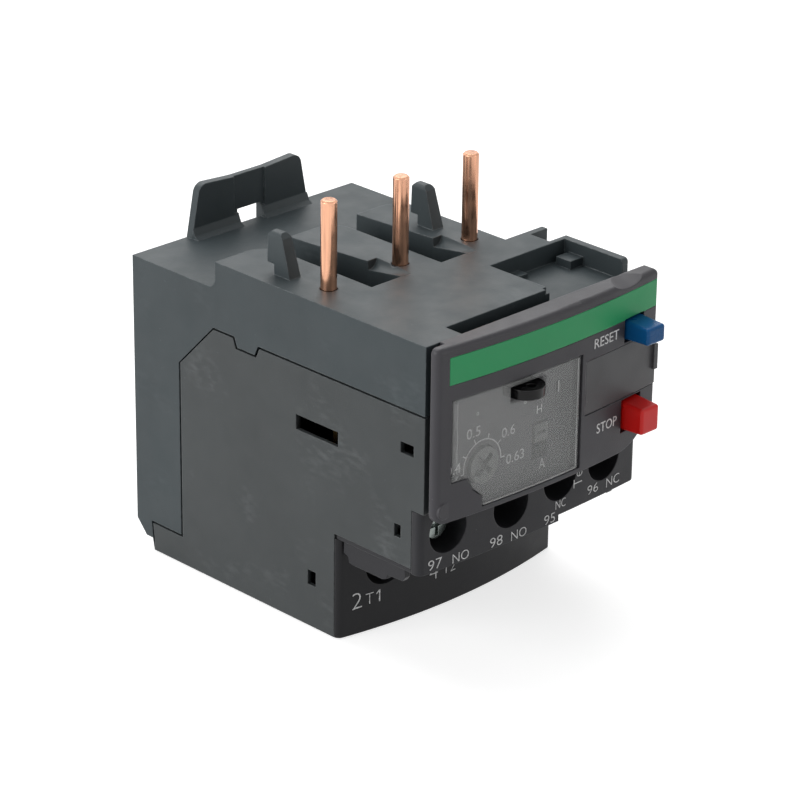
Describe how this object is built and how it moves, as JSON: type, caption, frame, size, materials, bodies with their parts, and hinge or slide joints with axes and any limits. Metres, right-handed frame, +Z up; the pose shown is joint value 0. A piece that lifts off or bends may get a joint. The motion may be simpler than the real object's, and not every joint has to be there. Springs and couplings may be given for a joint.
{
  "type": "thermal overload relay",
  "caption": "Plug-on three-pole bimetal thermal overload relay with setting dial, reset and stop buttons, clear flap and auxiliary contacts.",
  "frame": {"origin": "middle of the box round the whole relay, at its underside", "axes": "+X to the right across the front (width), +Y from the front face to the rear, +Z up along the contact pins"},
  "size_m": [0.045, 0.0688, 0.0649],
  "materials": {
    "shell_plastic": "fine moulded texture",
    "side_plastic": "fine moulded texture",
    "dark_plastic": "satin",
    "cover_plastic": "satin",
    "green_plastic": "satin",
    "marker_plastic": "satin",
    "clear_plastic": "clear, slightly grey",
    "black_plastic": "satin",
    "blue_plastic": "gloss",
    "red_plastic": "gloss",
    "white_plastic": "satin",
    "orange_plastic": "satin",
    "copper": "bright drawn copper",
    "tinned_copper": "tin plated",
    "zinc_steel": "zinc plated",
    "bimetal": "rolled strip",
    "heater_alloy": "dull ribbon",
    "spring_steel": "bright",
    "contact_brass": "rolled"
  },
  "bodies": {
    "base": {"main_housing": "shell_plastic", "left_side_cover": "side_plastic", "power_terminal_block": "dark_plastic", "aux_terminal_block": "dark_plastic", "front_cover": "cover_plastic", "green_band": "green_plastic", "marker_plate": "marker_plastic", "sealing_lug": "black_plastic", "power_terminal_screws": "zinc_steel", "power_clamp_plates": "zinc_steel", "aux_terminal_screws": "zinc_steel", "aux_clamp_plates": "zinc_steel", "trip_lever_pin": "spring_steel", "adjusting_lever_pin": "spring_steel", "fixed_contact_97": "contact_brass", "fixed_contact_98": "contact_brass", "fixed_contact_95": "contact_brass", "fixed_contact_96": "contact_brass", "contact_pin_l1": "copper", "contact_pin_l2": "copper", "contact_pin_l3": "copper", "bimetal_strip_l1": "bimetal", "bimetal_strip_l2": "bimetal", "bimetal_strip_l3": "bimetal", "heater_winding_l1": "heater_alloy", "heater_winding_l2": "heater_alloy", "heater_winding_l3": "heater_alloy", "input_link_l1": "copper", "input_link_l2": "copper", "input_link_l3": "copper", "output_bar_l1": "tinned_copper", "output_bar_l2": "tinned_copper", "output_bar_l3": "tinned_copper", "reset_spring": "spring_steel", "stop_spring": "spring_steel"},
    "reset": {"reset_button": "blue_plastic"},
    "stop": {"stop_button": "red_plastic"},
    "test": {"test_button": "red_plastic"},
    "dial": {"setting_dial": "white_plastic", "dial_cam": "white_plastic"},
    "adjuster": {"adjusting_lever": "white_plastic", "compensation_strip": "bimetal"},
    "selector": {"mode_selector": "white_plastic"},
    "flap": {"window_flap": "clear_plastic"},
    "indicator": {"trip_indicator": "orange_plastic"},
    "slider_main": {"main_slider": "white_plastic"},
    "slider_differential": {"differential_slider": "white_plastic"},
    "rocker": {"differential_lever": "white_plastic"},
    "lever": {"trip_lever": "white_plastic"},
    "carrier": {"contact_carrier": "white_plastic", "make_bridge": "contact_brass", "break_bridge": "contact_brass"}
  },
  "joints": [
    {"name": "reset_push", "type": "slide", "parent": "base", "child": "reset", "axis": [0, 1, 0], "range_m": [0, 0.0025], "stiffness_N_per_m": 900, "springref_m": -0.0005, "deforming": ["reset_spring"]},
    {"name": "stop_push", "type": "slide", "parent": "base", "child": "stop", "axis": [0, 1, 0], "range_m": [0, 0.002], "stiffness_N_per_m": 900, "springref_m": -0.0005, "deforming": ["stop_spring"]},
    {"name": "test_push", "type": "slide", "parent": "base", "child": "test", "axis": [0, 1, 0], "range_m": [0, 0.0012], "stiffness_N_per_m": 900, "springref_m": -0.0005},
    {"name": "dial_turn", "type": "hinge", "parent": "base", "child": "dial", "pos_m": [-0.0123, -0.0259, 0.03105], "axis": [0, 1, 0], "range_deg": [0, 200]},
    {"name": "adjuster_turn", "type": "hinge", "parent": "base", "child": "adjuster", "pos_m": [-0.002, -0.0209, 0.0385], "axis": [0, 1, 0], "range_deg": [0, 8]},
    {"name": "selector_slide", "type": "slide", "parent": "base", "child": "selector", "axis": [0, 0, 1], "range_m": [-0.0025, 0]},
    {"name": "flap_turn", "type": "hinge", "parent": "base", "child": "flap", "pos_m": [0.0046, -0.03025, 0.034], "axis": [0, 0, 1], "range_deg": [0, 95]},
    {"name": "main_slide", "type": "slide", "parent": "base", "child": "slider_main", "axis": [1, 0, 0], "range_m": [0, 0.002]},
    {"name": "differential_slide", "type": "slide", "parent": "base", "child": "slider_differential", "axis": [1, 0, 0], "range_m": [0, 0.001]},
    {"name": "rocker_turn", "type": "hinge", "parent": "slider_main", "child": "rocker", "pos_m": [0.012, 0.0093, 0.0394], "axis": [0, 0, 1], "range_deg": [0, 9.2]},
    {"name": "lever_turn", "type": "hinge", "parent": "base", "child": "lever", "pos_m": [0.014, 0.0031, 0.041], "axis": [0, 0, 1], "range_deg": [-14.1, 0]},
    {"name": "carrier_slide", "type": "slide", "parent": "base", "child": "carrier", "axis": [0, 1, 0], "range_m": [0, 0.0015]},
    {"name": "indicator_slide", "type": "slide", "parent": "base", "child": "indicator", "axis": [0, 0, 1], "range_m": [0, 0.002]}
  ],
  "couplings": [
    {"joint": "adjuster_turn", "follows": "dial_turn", "ratio": 0.0392},
    {"joint": "differential_slide", "follows": "main_slide", "ratio": 0.5},
    {"joint": "rocker_turn", "follows": "main_slide", "rad_per_m": 79},
    {"joint": "lever_turn", "follows": "main_slide", "rad_per_m": -122.5},
    {"joint": "carrier_slide", "follows": "main_slide", "ratio": 0.75},
    {"joint": "indicator_slide", "follows": "main_slide", "ratio": 1}
  ]
}
